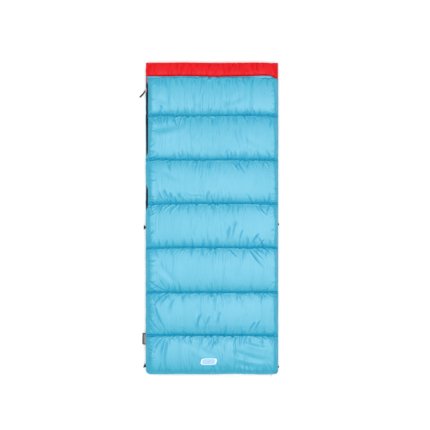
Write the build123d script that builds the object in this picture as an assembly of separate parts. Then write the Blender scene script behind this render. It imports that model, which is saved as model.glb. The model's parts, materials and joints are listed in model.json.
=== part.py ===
from build123d import *
import os
from math import cos, radians, sin

# Rectangular sleeping bag, lying flat and zipped, foot towards -Y, zip side towards -X.
# Millimetres, +Z up, origin on the floor at the centre of the underside.
# A base panel and a cover panel, each a quilted sandwich of shell, batt and liner,
# are joined by a folded side at +X and by an L-shaped zip at -X and along the foot.

# Whole bag
LENGTH = 1905.0
HEAD_Y = LENGTH / 2
FOOT_Y = -LENGTH / 2
HEIGHT = 88.0
FOLD_X = 404.0  # the folded side, about which the cover opens
HINGE_Z = HEIGHT / 2
SLEEPING_GAP = 10.0  # between the two liners
SHELL = 1.0  # thickness that stands for the shell and liner fabric

# Quilting
QUILT_Y = (-717.0, -453.8, -181.5, 87.2, 355.3, 624.5, 868.0)
HEM_Y = QUILT_Y[-1]  # the last line holds the facing round the head end
SEAM_HALF = 1.5  # half of the flat pressed by a stitched line
SEAM_OUT = 28.0  # how deep a stitched line sinks below the crown outside
SEAM_IN = 3.0  # and on the liner's side
HEM_OUT = 8.0  # how much lower the facing's roll is than a channel
SEAM_THREAD = 1.2
THREAD_RISE = 0.6
FLOOR_RISE = 45.0  # run over which the base curves up to a stitched line
FLOOR_SHARE = 0.3  # but no more than this share of the channel
BASE_SEAM_Z = 22.0  # height of the stitched lines on the underside

# Panel edges
BASE_LEFT = -404.0
COVER_LEFT = -392.0
PANEL_RIGHT = 403.0
COVER_FOOT = FOOT_Y + 12.0
COVER_EDGE_LEFT, COVER_EDGE_RIGHT = (53.0, 61.0), (50.0, 60.0)  # lowest and highest at each side
BASE_EDGE_LEFT, BASE_EDGE_RIGHT = (27.0, 35.0), (28.0, 38.0)
COVER_FOOT_DROP, COVER_HEAD_DROP = 26.0, 24.0  # from the crown down to the end's top edge
COVER_FOOT_RISE, COVER_HEAD_RISE = 4.0, 3.0  # from the liner up to the end's lower edge
BASE_FOOT_LOW, BASE_HEAD_LOW = 26.0, 24.0
COVER_SPLIT_Z = 57.0  # where shell and liner meet round the cover
BASE_SPLIT_Z = 31.0
ROUND_RUN, STEEP_RUN = 95.0, 52.0  # width of the rounded side and of the liner's side
SIDE_SWELL = 7.0
LINER_DEPTH = 40.0  # how far the side's profile reaches behind the liner
OPEN_OVER = 14.0
FOOT_RADIUS = 30.0
EDGE_OVER = 1.0  # the plan's rounded rectangle stands out by this much

# Zip, a vertical chain: straight down the side, round the corner, along the foot
ZIP_X = -399.0
ZIP_Y = FOOT_Y + 5.5
ZIP_RADIUS = 28.0
TAPE = 1.0
TAPE_TOP_Y = 830.0
TAPE_END_X = 392.0
TEETH = 3.0
MESH_GAP = 1.6  # the slider's post passes between the two rows
BASE_TEETH_TOP_Y = 803.0
BASE_TEETH_END_X = 374.0
COVER_TEETH_TOP_Y = 772.0
COVER_TEETH_END_X = 348.0
STOP_Y = 806.0
STOP_HALF = 2.2
STOP_Z = (39.4, 43.4)
TAPE_LOW_Z = 33.0
TAPE_BEND_Z = 51.2  # the cover's tape stands upright to here, then leans in to its panel
TAPE_LEAN = 8.0
TAPE_SEWN_Z = (55.6, 56.8)
BOX_X = (378.0, 388.0)  # the foot end's box and the pin in it
BOX_Z = (38.4, 49.4)
BOX_HALF, BOX_SLOT_HALF, PIN_HALF = 3.4, 1.9, 1.5
PIN_Z = (44.4, 48.8)

# Sliders
SLIDER_LENGTH = 24.0
CHANNEL_HALF = 1.9
PLATE = 2.0
SLIDER_HALF_HEIGHT = 5.4
SLIDER_CORNER = 3.0
LIP = 0.9  # the plates' edges close in to this half gap, and are this thick
POST_HALF = 0.6
BAIL_REACH, BAIL_THICK, BAIL_HALF, BAIL_DEEP = 5.5, 1.1, 6.5, 1.5
HEAD_SLIDER_Y = 786.0
FOOT_SLIDER_X = 362.0
PIVOT_OUT = 6.8  # the pull's axis stands this far outside the chain
LINK_REACH = 8.0
HEAD_PULL_ANGLE = 235.0  # direction in plan, degrees from +X
FOOT_TAB_REACH = 16.7
LINK_BAR = 0.8
LINK_PIN = 7.6  # length of the pin and of the end bar
LINK_INSIDE = 2.4

# Pull strap, a round cord with its route's points
CORD = 9.0
CORD_ROUTE = (
    (-410.4, 779.4, 44.0),
    (-416.0, 771.4, 41.0),
    (-422.8, 763.6, 34.0),
    (-432.6, 755.2, 18.0),
    (-444.0, 747.6, 5.4),
)

# Draft tube behind the zip
DRAFT_X, DRAFT_Z = -377.0, 46.5
DRAFT_HALF, DRAFT_HALF_HEIGHT = 11.0, 4.6
DRAFT_Y = (-905.0, 865.0)

# Loops, label and patch
LOOP_WIDE = 27.0
LOOP_DEEP = 14.5
LOOP_WEBBING = 3.9
LOOP_THICK = 1.8
LOOP_NECK = 3.4  # half width at the sewn end
LOOP_EYE = (4.0, 1.5, 5.2)  # where the eye begins, its half widths there and at its far side
LOOP_Z = 30.5
LOOP_RIGHT_X = PANEL_RIGHT + 0.1
LOOP_RIGHT_Z = 27.4
LABEL_Y = (-774.5, -705.0)
LABEL_REACH = 26.0
LABEL_TOP_Z, LABEL_THICK, LABEL_END_Z = 31.0, 1.6, 6.0
PATCH_CENTRE = (-20.0, -871.0)
PATCH_SIZE = (104.0, 40.0)
PATCH_CORNER = 14.0
PATCH_THICK = 0.5

SPAN = 2400.0  # longer than the bag, for cutting solids


def face_of(edges):
    return Face(Wire(edges))


def spans(foot_y, head_y):
    """The channels between stitched lines, from foot to head."""
    starts = [foot_y] + [y + SEAM_HALF for y in QUILT_Y]
    ends = [y - SEAM_HALF for y in QUILT_Y] + [head_y]
    return list(zip(starts, ends))


def joined(pieces, z_at_seam):
    """Edges of each channel with the stitched flats between them."""
    edges = []
    for number, piece in enumerate(pieces):
        edges += piece
        if number < len(QUILT_Y):
            y = QUILT_Y[number]
            edges.append(Line((0, y - SEAM_HALF, z_at_seam), (0, y + SEAM_HALF, z_at_seam)))
    return edges


def arched(foot_y, head_y, z_foot, z_seam, z_head, crown, hem_crown):
    """A row of arches, one over each channel."""
    channels = spans(foot_y, head_y)
    pieces = []
    for number, (a, b) in enumerate(channels):
        za = z_foot if number == 0 else z_seam
        zb = z_head if number == len(channels) - 1 else z_seam
        top = hem_crown if number == len(channels) - 1 else crown
        pieces.append([ThreePointArc((0, a, za), (0, (a + b) / 2, top), (0, b, zb))])
    return joined(pieces, z_seam)


def resting(foot_y, head_y, z_foot, z_seam, z_head, floor):
    """The underside: each channel is flat on the floor and curves up to its lines."""
    channels = spans(foot_y, head_y)
    pieces = []
    for number, (a, b) in enumerate(channels):
        za = z_foot if number == 0 else z_seam
        zb = z_head if number == len(channels) - 1 else z_seam
        run = min(FLOOR_RISE, FLOOR_SHARE * (b - a))
        up = ThreePointArc(
            (0, a, za), (0, a + 0.47 * run, floor + 0.36 * (za - floor)), (0, a + run, floor)
        )
        flat = Line((0, a + run, floor), (0, b - run, floor))
        down = ThreePointArc(
            (0, b - run, floor), (0, b - 0.47 * run, floor + 0.36 * (zb - floor)), (0, b, zb)
        )
        pieces.append([up, flat, down])
    return joined(pieces, z_seam)


def closed_face(lower, upper, low_ends, high_ends):
    """A face between a lower and an upper row of edges."""
    sides = [Line(low_ends[0], high_ends[0]), Line(low_ends[1], high_ends[1])]
    return face_of(lower + sides + upper)


def plan(left, right, foot_y, inset):
    """Rounded rectangle whose head corners lie past the head end."""
    width = right - left + 2 * (EDGE_OVER - inset)
    top = HEAD_Y + 100
    low = foot_y - EDGE_OVER + inset
    outline = RectangleRounded(width, top - low, FOOT_RADIUS - inset)
    return extrude(Pos((left + right) / 2, (top + low) / 2) * outline, amount=HEIGHT + 20)


def edge_profile(left, right, left_edge, right_edge, inset, arch):
    """The panel across its width: rounded sides, open above and below the middle."""
    left, right = left + inset, right - inset
    (low_left, high_left), (low_right, high_right) = left_edge, right_edge
    low_left, high_left = low_left + inset, high_left - inset
    low_right, high_right = low_right + inset, high_right - inset
    upper = HEIGHT + OPEN_OVER if arch > 0 else HEIGHT - LINER_DEPTH
    lower = LINER_DEPTH if arch > 0 else -OPEN_OVER
    run_up, run_down = (ROUND_RUN, STEEP_RUN) if arch > 0 else (STEEP_RUN, ROUND_RUN)
    edges = [
        Line((left, 0, low_left), (left, 0, high_left)),
        Line((right, 0, low_right), (right, 0, high_right)),
        Line((left + run_up, 0, upper), (right - run_up, 0, upper)),
        Line((left + run_down, 0, lower), (right - run_down, 0, lower)),
    ]
    corners = (
        ((left, high_left), (left + run_up, upper), arch > 0, -1),
        ((right, high_right), (right - run_up, upper), arch > 0, 1),
        ((left, low_left), (left + run_down, lower), arch < 0, -1),
        ((right, low_right), (right - run_down, lower), arch < 0, 1),
    )
    for (xa, za), (xb, zb), round_side, side in corners:
        if round_side:
            middle = ((xa + xb) / 2 + side * 0.4 * SIDE_SWELL, 0, (za + zb) / 2 + arch * SIDE_SWELL)
            edges.append(ThreePointArc((xa, 0, za), middle, (xb, 0, zb)))
        else:
            edges.append(Line((xa, 0, za), (xb, 0, zb)))
    return face_of(edges)


def cover_panel(inset):
    foot_y, head_y = COVER_FOOT + inset, HEAD_Y - inset
    crown = HEIGHT - inset
    seam = HEIGHT - SEAM_OUT - inset
    liner = HINGE_Z + SLEEPING_GAP / 2 + inset
    foot_low, foot_high = liner + COVER_FOOT_RISE, HEIGHT - COVER_FOOT_DROP - inset
    head_low, head_high = liner + COVER_HEAD_RISE, HEIGHT - COVER_HEAD_DROP - inset
    top = arched(foot_y, head_y, foot_high, seam, head_high, crown, crown - HEM_OUT)
    under = arched(foot_y, head_y, foot_low, liner + SEAM_IN, head_low, liner, liner)
    ends = [(0, foot_y, foot_low), (0, head_y, head_low)], [(0, foot_y, foot_high), (0, head_y, head_high)]
    along = closed_face(under, top, *ends)
    across = edge_profile(COVER_LEFT, PANEL_RIGHT, COVER_EDGE_LEFT, COVER_EDGE_RIGHT, inset, 1)
    body = extrude(along, amount=SPAN / 2, both=True) & extrude(across, amount=SPAN / 2, both=True)
    return (body & plan(COVER_LEFT, PANEL_RIGHT, COVER_FOOT, inset)).solids()[0]


def base_panel(inset):
    foot_y, head_y = FOOT_Y + inset, HEAD_Y - inset
    seam = BASE_SEAM_Z + inset
    liner = HINGE_Z - SLEEPING_GAP / 2 - inset
    foot_low, foot_high = BASE_FOOT_LOW + inset, liner - COVER_FOOT_RISE
    head_low, head_high = BASE_HEAD_LOW + inset, liner - COVER_HEAD_RISE
    top = arched(foot_y, head_y, foot_high, liner - SEAM_IN, head_high, liner, liner)
    under = resting(foot_y, head_y, foot_low, seam, head_low, inset)
    ends = [(0, foot_y, foot_low), (0, head_y, head_low)], [(0, foot_y, foot_high), (0, head_y, head_high)]
    along = closed_face(under, top, *ends)
    across = edge_profile(BASE_LEFT, PANEL_RIGHT, BASE_EDGE_LEFT, BASE_EDGE_RIGHT, inset, -1)
    body = extrude(along, amount=SPAN / 2, both=True) & extrude(across, amount=SPAN / 2, both=True)
    return (body & plan(BASE_LEFT, PANEL_RIGHT, FOOT_Y, inset)).solids()[0]


def block(x, y, z):
    """A box from its ranges along each axis."""
    return Pos(x[0], y[0], z[0]) * Box(
        x[1] - x[0], y[1] - y[0], z[1] - z[0], align=(Align.MIN, Align.MIN, Align.MIN)
    )


def wide_block(y, z):
    return block((-SPAN / 2, SPAN / 2), y, z)


def split_skin(outside, inside, split_z, over):
    """Shell, facing and liner from the skin between two nested panels."""
    skin = outside - inside
    high, low = (split_z, HEIGHT + 20), (-20, split_z)
    outer_z, liner_z = (high, low) if over else (low, high)
    shell = skin & wide_block((-SPAN / 2, HEM_Y), outer_z)
    facing = skin & wide_block((HEM_Y, SPAN / 2), outer_z)
    liner = skin & wide_block((-SPAN / 2, SPAN / 2), liner_z)
    return shell, facing, liner


def zip_path(top_y, end_x, z):
    """The chain's line in plan, from the head down the side and along the foot."""
    corner_y, corner_x = ZIP_Y + ZIP_RADIUS, ZIP_X + ZIP_RADIUS
    bend = ZIP_RADIUS * (1 - cos(radians(45)))
    return Wire([
        Line((ZIP_X, top_y, z), (ZIP_X, corner_y, z)),
        ThreePointArc((ZIP_X, corner_y, z), (ZIP_X + bend, ZIP_Y + bend, z), (corner_x, ZIP_Y, z)),
        Line((corner_x, ZIP_Y, z), (end_x, ZIP_Y, z)),
    ])


def zip_strip(top_y, end_x, section):
    """A strip along the zip; section lists (inward offset, height)."""
    points = [(ZIP_X + x, top_y, z) for x, z in section]
    start = Face(Wire.make_polygon(points, close=True))
    return sweep(start, path=zip_path(top_y, end_x, 0))


def ribbon(half, low, high):
    return [(-half, low), (half, low), (half, high), (-half, high)]


def slider():
    """Two plates, a post between them and a bail; x outward, y along the chain."""
    outer = CHANNEL_HALF + PLATE
    high = SLIDER_HALF_HEIGHT
    long = SLIDER_LENGTH / 2
    body = Part()
    for side in (-1, 1):
        x = sorted((side * CHANNEL_HALF, side * outer))
        plate = block(x, (-long, long), (-high, high))
        plate = fillet(plate.edges().filter_by(Axis.X), SLIDER_CORNER)
        body += plate
        for end in (-1, 1):
            lip_z = sorted((end * (high - LIP), end * high))
            lip_x = sorted((side * LIP, side * CHANNEL_HALF))
            body += block(lip_x, (-long + SLIDER_CORNER, long - SLIDER_CORNER), lip_z)
    body += block((-CHANNEL_HALF, CHANNEL_HALF), (1, long - 1), (-POST_HALF, POST_HALF))
    return body + bail(outer)


def bail(outer):
    """The bridge on the outer plate that holds the pull."""
    reach, thick, half, deep = BAIL_REACH, BAIL_THICK, BAIL_HALF, BAIL_DEEP
    bridge = block((outer - 0.1, outer + reach), (-half, half), (-deep, deep))
    bridge = fillet(bridge.edges().filter_by(Axis.Z).sort_by(Axis.X)[-2:], 2.2 * thick)
    hole = block((outer, outer + reach - thick), (-half + thick, half - thick), (-2 * deep, 2 * deep))
    hole = fillet(hole.edges().filter_by(Axis.Z).sort_by(Axis.X)[-2:], 1.3 * thick)
    return bridge - hole


def pull_ring():
    """A stirrup about its own axis at the origin, reaching along +x."""
    ring = Part() + Cylinder(LINK_BAR, LINK_PIN)
    for side in (-1, 1):
        z = sorted((side * LINK_INSIDE, side * LINK_PIN / 2))
        ring += block((0, LINK_REACH), (-LINK_BAR, LINK_BAR), z)
    return ring + Pos(LINK_REACH, 0, 0) * Cylinder(LINK_BAR + 0.1, LINK_PIN)


def hang_loop():
    """A triangular webbing eye in the plan; sewn point at the origin, reaching along +x."""
    half, far = LOOP_WIDE / 2, LOOP_DEEP - LOOP_WEBBING
    outline = Polygon(
        (-0.5, -LOOP_NECK), (LOOP_DEEP, -half), (LOOP_DEEP, half), (-0.5, LOOP_NECK), align=None
    )
    outline = fillet(outline.vertices().sort_by(Axis.X)[-2:], LOOP_WEBBING / 2)
    near, narrow, broad = LOOP_EYE
    eye = Polygon((near, -narrow), (far, -broad), (far, broad), (near, narrow), align=None)
    eye = fillet(eye.vertices(), 0.7)
    return Pos(0, 0, -LOOP_THICK / 2) * extrude(outline - eye, amount=LOOP_THICK)


def cord_path():
    """Straight runs joined by tangent arcs through the route's points."""
    points = [Vector(*p) for p in CORD_ROUTE]
    runs = [b - a for a, b in zip(points, points[1:])]
    radii = []
    for first, second in zip(runs, runs[1:]):
        turn = radians(first.get_angle(second))
        shorter = min(first.length, second.length)
        radii.append(0.45 * shorter / (sin(turn / 2) / cos(turn / 2)))
    print("cord radii", [round(r, 1) for r in radii])
    return FilletPolyline(*points, radius=radii)


def pull_cord():
    path = cord_path()
    wire = Wire(path.edges())
    start = Plane(origin=wire @ 0, z_dir=wire % 0)
    tube = sweep(start * Circle(CORD / 2), path=wire)
    expected = 3.14159 * CORD ** 2 / 4 * wire.length
    print("cord length", round(wire.length, 1), "volume ratio", round(tube.volume / expected, 3))
    return tube


def build():
    nodes = {}
    cover_out, cover_in = cover_panel(0), cover_panel(SHELL)
    base_out, base_in = base_panel(0), base_panel(SHELL)

    shell, facing, liner = split_skin(cover_out, cover_in, COVER_SPLIT_Z, over=True)
    nodes["cover_outer_shell"] = shell
    nodes["cover_head_facing"] = facing
    nodes["cover_liner"] = liner
    nodes["cover_batt"] = cover_in
    shell, facing, liner = split_skin(base_out, base_in, BASE_SPLIT_Z, over=False)
    nodes["base_outer_shell"] = shell
    nodes["base_head_facing"] = facing
    nodes["base_liner"] = liner
    nodes["base_batt"] = base_in

    fold = (PANEL_RIGHT, FOLD_X - 0.1)
    fold_y = (FOOT_Y + 40, HEAD_Y - 4)
    nodes["base_side_fold"] = block(fold, fold_y, (BASE_SPLIT_Z - 1, HINGE_Z - 0.2))
    nodes["cover_side_fold"] = block(fold, fold_y, (HINGE_Z + 0.2, COVER_SPLIT_Z + 1))

    mesh = MESH_GAP / 2
    upright = ribbon(TAPE / 2, TAPE_LOW_Z, HINGE_Z - mesh - 1)
    base_tape = zip_strip(TAPE_TOP_Y, TAPE_END_X, upright) - base_out
    nodes["base_zip_tape"] = base_tape
    base_teeth = ribbon(TEETH / 2, HINGE_Z - mesh - TEETH, HINGE_Z - mesh)
    nodes["base_zip_teeth"] = zip_strip(BASE_TEETH_TOP_Y, BASE_TEETH_END_X, base_teeth) - base_tape
    half = TAPE / 2
    leaning = [
        (-half, HINGE_Z + mesh + 1), (half, HINGE_Z + mesh + 1), (half, TAPE_BEND_Z),
        (TAPE_LEAN, TAPE_SEWN_Z[0]), (TAPE_LEAN, TAPE_SEWN_Z[1]), (-half, TAPE_BEND_Z + 0.6),
    ]
    cover_tape = zip_strip(TAPE_TOP_Y, TAPE_END_X, leaning) - cover_out
    nodes["cover_zip_tape"] = cover_tape
    cover_teeth = ribbon(TEETH / 2, HINGE_Z + mesh, HINGE_Z + mesh + TEETH)
    nodes["cover_zip_teeth"] = zip_strip(COVER_TEETH_TOP_Y, COVER_TEETH_END_X, cover_teeth) - cover_tape

    stop_x, stop_y = (ZIP_X - STOP_HALF, ZIP_X + STOP_HALF), (STOP_Y - 2, STOP_Y + 2)
    stop = block(stop_x, stop_y, STOP_Z)
    nodes["base_top_stop"] = stop - base_tape
    nodes["cover_top_stop"] = Pos(0, 0, 2 * HINGE_Z - sum(STOP_Z)) * stop - cover_tape

    box = block(BOX_X, (ZIP_Y - BOX_HALF, ZIP_Y + BOX_HALF), BOX_Z)
    slot_y = (ZIP_Y - BOX_SLOT_HALF, ZIP_Y + BOX_SLOT_HALF)
    slot = block((BOX_X[0] - 1, BOX_X[1] + 1), slot_y, (HINGE_Z - 0.2, BOX_Z[1] + 1))
    nodes["zip_retainer_box"] = box - slot - base_tape
    pin = block((BOX_X[0] + 1, BOX_X[1] - 1), (ZIP_Y - PIN_HALF, ZIP_Y + PIN_HALF), PIN_Z)
    nodes["zip_insertion_pin"] = pin - cover_tape

    start = Plane(origin=(DRAFT_X, DRAFT_Y[0], DRAFT_Z), x_dir=(1, 0, 0), z_dir=(0, 1, 0))
    tube = extrude(start * Ellipse(DRAFT_HALF, DRAFT_HALF_HEIGHT), amount=DRAFT_Y[1] - DRAFT_Y[0])
    nodes["draft_tube"] = tube - cover_out

    for number, y in enumerate(QUILT_Y, 1):
        thread = (y - SEAM_THREAD / 2, y + SEAM_THREAD / 2)
        top = HEIGHT - SEAM_OUT
        across = (COVER_LEFT + 1, PANEL_RIGHT - 1)
        nodes[f"cover_quilt_seam_{number}"] = block(across, thread, (top, top + THREAD_RISE))
        across = (BASE_LEFT + BASE_SEAM_Z, PANEL_RIGHT - BASE_SEAM_Z)
        under = (BASE_SEAM_Z - THREAD_RISE, BASE_SEAM_Z)
        nodes[f"base_quilt_seam_{number}"] = block(across, thread, under)

    loops = {
        "hang_loop_left_mid": Location((BASE_LEFT, -55, LOOP_Z), (0, 0, 180)),
        "hang_loop_left_foot": Location((BASE_LEFT, -908, LOOP_Z), (0, 0, 162)),
        "hang_loop_right_mid": Location((LOOP_RIGHT_X, -36, LOOP_RIGHT_Z), (0, 90, 0)),
        "hang_loop_right_foot": Location((LOOP_RIGHT_X, -908, LOOP_RIGHT_Z), (0, 90, 0)),
    }
    for name, place in loops.items():
        nodes[name] = place * hang_loop() - base_out

    far = BASE_LEFT - LABEL_REACH
    label = [(BASE_LEFT, LABEL_TOP_Z), (BASE_LEFT, LABEL_TOP_Z - LABEL_THICK),
             (far + 0.8, LABEL_END_Z), (far, LABEL_END_Z + 1)]
    corners = [(x, LABEL_Y[0], z) for x, z in label]
    side = Face(Wire.make_polygon(corners, close=True))
    nodes["side_label"] = extrude(side, amount=LABEL_Y[1] - LABEL_Y[0], dir=(0, 1, 0))

    outline = Pos(*PATCH_CENTRE, COVER_SPLIT_Z) * RectangleRounded(*PATCH_SIZE, PATCH_CORNER)
    raised = cover_panel(-PATCH_THICK) - cover_out
    nodes["cover_patch"] = raised & extrude(outline, amount=HEIGHT)

    pivot = Location((ZIP_X - PIVOT_OUT, HEAD_SLIDER_Y, HINGE_Z))
    nodes["head_slider"] = Location((ZIP_X, HEAD_SLIDER_Y, HINGE_Z)) * mirror(slider(), Plane.YZ)
    link = pivot * Location((0, 0, 0), (0, 0, HEAD_PULL_ANGLE)) * pull_ring()
    nodes["head_pull_link"] = link
    nodes["head_pull_cord"] = pull_cord() - link

    turned = Location((0, 0, 0), (0, 0, -90))
    nodes["foot_slider"] = Location((FOOT_SLIDER_X, ZIP_Y, HINGE_Z)) * turned * slider()
    blade = block((LINK_REACH, FOOT_TAB_REACH), (-LINK_BAR, LINK_BAR), (-LINK_PIN / 2, LINK_PIN / 2))
    tab = pull_ring() + blade
    nodes["foot_pull_tab"] = Location((FOOT_SLIDER_X, ZIP_Y - PIVOT_OUT, HINGE_Z)) * turned * tab
    return nodes


os.makedirs("parts", exist_ok=True)
for node_name, node_shape in build().items():
    export_step(node_shape, f"parts/{node_name}.step")
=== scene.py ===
"""Rectangular sleeping bag, lying flat and zipped, seen from above in a plain studio."""

import json
import math
from typing import NamedTuple

import bmesh
import bpy
import numpy as np
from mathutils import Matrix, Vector
from mathutils.bvhtree import BVHTree


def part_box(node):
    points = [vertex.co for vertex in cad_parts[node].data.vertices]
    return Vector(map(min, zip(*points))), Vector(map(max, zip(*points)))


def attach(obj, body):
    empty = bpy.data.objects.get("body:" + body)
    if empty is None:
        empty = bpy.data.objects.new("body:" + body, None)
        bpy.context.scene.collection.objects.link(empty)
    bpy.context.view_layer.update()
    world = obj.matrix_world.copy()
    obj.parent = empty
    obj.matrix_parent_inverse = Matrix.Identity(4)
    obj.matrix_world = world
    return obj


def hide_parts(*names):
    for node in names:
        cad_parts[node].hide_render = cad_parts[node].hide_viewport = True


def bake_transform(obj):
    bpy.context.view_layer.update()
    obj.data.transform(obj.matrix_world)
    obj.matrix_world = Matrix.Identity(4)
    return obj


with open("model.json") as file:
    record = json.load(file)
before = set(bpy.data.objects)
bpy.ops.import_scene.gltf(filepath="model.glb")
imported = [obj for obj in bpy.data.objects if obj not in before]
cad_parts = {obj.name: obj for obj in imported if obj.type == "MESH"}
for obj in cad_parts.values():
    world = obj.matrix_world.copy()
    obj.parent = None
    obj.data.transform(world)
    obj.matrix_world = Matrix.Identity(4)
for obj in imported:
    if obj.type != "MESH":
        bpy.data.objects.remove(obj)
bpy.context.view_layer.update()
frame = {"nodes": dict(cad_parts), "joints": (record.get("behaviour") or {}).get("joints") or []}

bl_info = {
    "name": "Rectangular sleeping bag",
    "version": (1, 0, 0),
    "blender": (4, 5, 0),
    "location": "3D View > Sidebar > Bag",
    "description": "Makes a quilted sleeping bag with its zip, loops and label",
    "category": "Add Mesh",
}


# Places taken from the fixed model


def centre(node):
    """The middle of a node's box."""
    low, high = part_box(node)
    return (low + high) / 2


QUILT_LINES = [centre(f"cover_quilt_seam_{n}").y for n in range(1, 8)]
HEM_Y = QUILT_LINES[-1]
HEAD_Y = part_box("base_liner")[1].y
FOOT_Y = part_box("base_outer_shell")[0].y
FOLD_JOINT = next(j for j in frame["joints"] if j["name"] == "cover_open")
HINGE_X, HINGE_Z = FOLD_JOINT["pos_m"][0], FOLD_JOINT["pos_m"][2]
CHAIN_X = centre("base_top_stop").x
CHAIN_Y = centre("zip_retainer_box").y
TAPE_TOP_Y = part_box("base_zip_tape")[1].y
TEETH_TOP_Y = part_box("base_zip_teeth")[1].y
TEETH_END_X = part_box("base_zip_teeth")[1].x

# Sizes that the pieces share, in metres
CHAIN_RADIUS = 0.028  # the zip's turn at the foot corner
CORNER_STEPS = 12  # points on that turn
TAPE_END_X = 0.392
HINGE_CLEAR = 0.0008  # the cloth stays this far inside the fold's axis
FOLD_START_X = 0.386  # the folded side's strip begins here along the foot, over the zip's end
FOLD_ROWS = 480  # points along that strip
FLANGE = 0.0040  # flat border of a panel's sheet
FOOT_STRIP = 0.0100  # flat strip along the foot
HEM_STRIP = 0.0115  # and below the hem
STRIP_CELLS = 4  # grid cells across each of them
CLOTH_WIDTH = 0.8086  # width that the grid's spacing is counted over
FOOT_CORNERS = (0.028, 0.021)  # radii of the panels' corners: zip side, folded side
ZIP_SHOWN = (0.060, 0.194, 0.384)  # the zip is seen between the first two places and past the third
HEM_TURN, BAND_TURN = 0.828, 0.866  # past these the hem, and then the head band, hang over the zip side
BAND_BULGE = (0.903, 0.020)  # where the head band hangs out most, and over what run
BAND_DROOP = (0.017, 0.371, 0.030)  # the head band's drop at its right end, where it starts, and its run

# Surfaces kept between the operators, as grids of points
SURFACES = {}


# Settings


class BagQuilting(bpy.types.PropertyGroup):
    """Sizes of the quilted panels."""

    grid: bpy.props.FloatProperty(
        name="Grid", description="Spacing of the cover's cloth grid", default=0.0040, unit="LENGTH"
    )
    side_run: bpy.props.FloatProperty(
        name="Side run", description="Width over which a panel rounds to its edge",
        default=0.016, unit="LENGTH",
    )
    fullness: bpy.props.FloatProperty(
        name="Fullness", description="Cloth length over the length it covers", default=1.012, min=1.0
    )
    fabric: bpy.props.FloatProperty(
        name="Fabric", description="Thickness of the shell and liner", default=0.0007, unit="LENGTH"
    )
    seed: bpy.props.IntProperty(name="Seed", description="Seed of the folds", default=7)


class BagZip(bpy.types.PropertyGroup):
    """Sizes of the zip's parts."""

    pitch: bpy.props.FloatProperty(
        name="Pitch", description="Distance from tooth to tooth in one row", default=0.0026, unit="LENGTH"
    )
    tape: bpy.props.FloatProperty(
        name="Tape", description="Thickness of the zip's tape", default=0.0009, unit="LENGTH"
    )
    strap: bpy.props.FloatProperty(
        name="Strap", description="Diameter of the pull strap", default=0.009, unit="LENGTH"
    )


class BagStitching(bpy.types.PropertyGroup):
    """Sizes of the sewing thread."""

    spacing: bpy.props.FloatProperty(
        name="Spacing", description="Distance from stitch to stitch", default=0.0036, unit="LENGTH"
    )
    length: bpy.props.FloatProperty(
        name="Length", description="Visible length of a stitch", default=0.0029, unit="LENGTH"
    )
    thread: bpy.props.FloatProperty(
        name="Thread", description="Thickness of the thread", default=0.0008, unit="LENGTH"
    )


class BagColours(bpy.types.PropertyGroup):
    """Colours of the fabrics and trims, and the painted shade colours for their folds."""

    shell: bpy.props.FloatVectorProperty(
        name="Shell", description="Shell where it faces the light", subtype="COLOR",
        default=(0.008, 0.358, 0.515),
    )
    # Painted shade: the shell's colour where its folds and seams are in shade
    shell_fold_shade: bpy.props.FloatVectorProperty(
        name="Shell folds", description="Shell in its folds", subtype="COLOR",
        default=(0.000, 0.290, 0.520),
    )
    lining: bpy.props.FloatVectorProperty(
        name="Lining", description="Lining and facing", subtype="COLOR",
        default=(0.700, 0.003, 0.009),
    )
    # Painted shade: the lining's colour where its folds are in shade
    lining_fold_shade: bpy.props.FloatVectorProperty(
        name="Lining folds", description="Lining in its folds", subtype="COLOR",
        default=(0.510, 0.001, 0.004),
    )
    trim: bpy.props.FloatVectorProperty(
        name="Trim", description="Zip, webbing and strap", subtype="COLOR",
        default=(0.006, 0.0055, 0.007),
    )


class BagStage(bpy.types.PropertyGroup):
    """Camera and light."""

    height: bpy.props.FloatProperty(
        name="Height", description="Height of the camera", default=6.3, unit="LENGTH"
    )
    field: bpy.props.FloatProperty(
        name="Field", description="Width seen at the bag's height", default=2.632, unit="LENGTH"
    )
    overhead: bpy.props.FloatProperty(
        name="Overhead", description="Power of the large softbox above the camera", default=370.0
    )
    sides: bpy.props.FloatProperty(
        name="Sides", description="Power of each softbox beside the bag", default=20.0
    )
    sky: bpy.props.FloatProperty(name="Sky", description="Strength of the even light", default=0.43)


# Materials


def add_node(tree, kind, inputs=(), **settings):
    """Adds a node; an input is given as a number or colour, or as the socket it is joined to."""
    node = tree.nodes.new(kind)
    for key, value in settings.items():
        setattr(node, key, value)
    for key, value in dict(inputs).items():
        if isinstance(value, bpy.types.NodeSocket):
            tree.links.new(value, node.inputs[key])
        else:
            node.inputs[key].default_value = value
    return node


def new_material(name):
    """A material, its tree and its shader."""
    material = bpy.data.materials.new(name)
    material.use_nodes = True
    return material, material.node_tree, material.node_tree.nodes["Principled BSDF"]


def bump(tree, shader, height, strength, distance):
    """Joins a height to the shader's normal."""
    inputs = {"Strength": strength, "Distance": distance, "Height": height}
    node = add_node(tree, "ShaderNodeBump", inputs)
    tree.links.new(node.outputs["Normal"], shader.inputs["Normal"])


def noise(tree, place, scale, detail):
    """Soft uneven spots."""
    inputs = {"Scale": scale, "Detail": detail, "Vector": place}
    return add_node(tree, "ShaderNodeTexNoise", inputs).outputs["Fac"]


def join_colour(tree, shader, factor, first, second):
    """Runs the shader's colour from the first to the second as the factor grows."""
    inputs = {"A": (*first, 1), "B": (*second, 1), "Factor": factor}
    mix = add_node(tree, "ShaderNodeMix", inputs, data_type="RGBA")
    tree.links.new(mix.outputs["Result"], shader.inputs["Base Color"])


def join_range(tree, shader, socket, factor, low, high):
    """Runs one of the shader's numbers from low to high as the factor grows."""
    spread = add_node(tree, "ShaderNodeMapRange", {"To Min": low, "To Max": high, "Value": factor})
    tree.links.new(spread.outputs["Result"], shader.inputs[socket])


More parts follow.
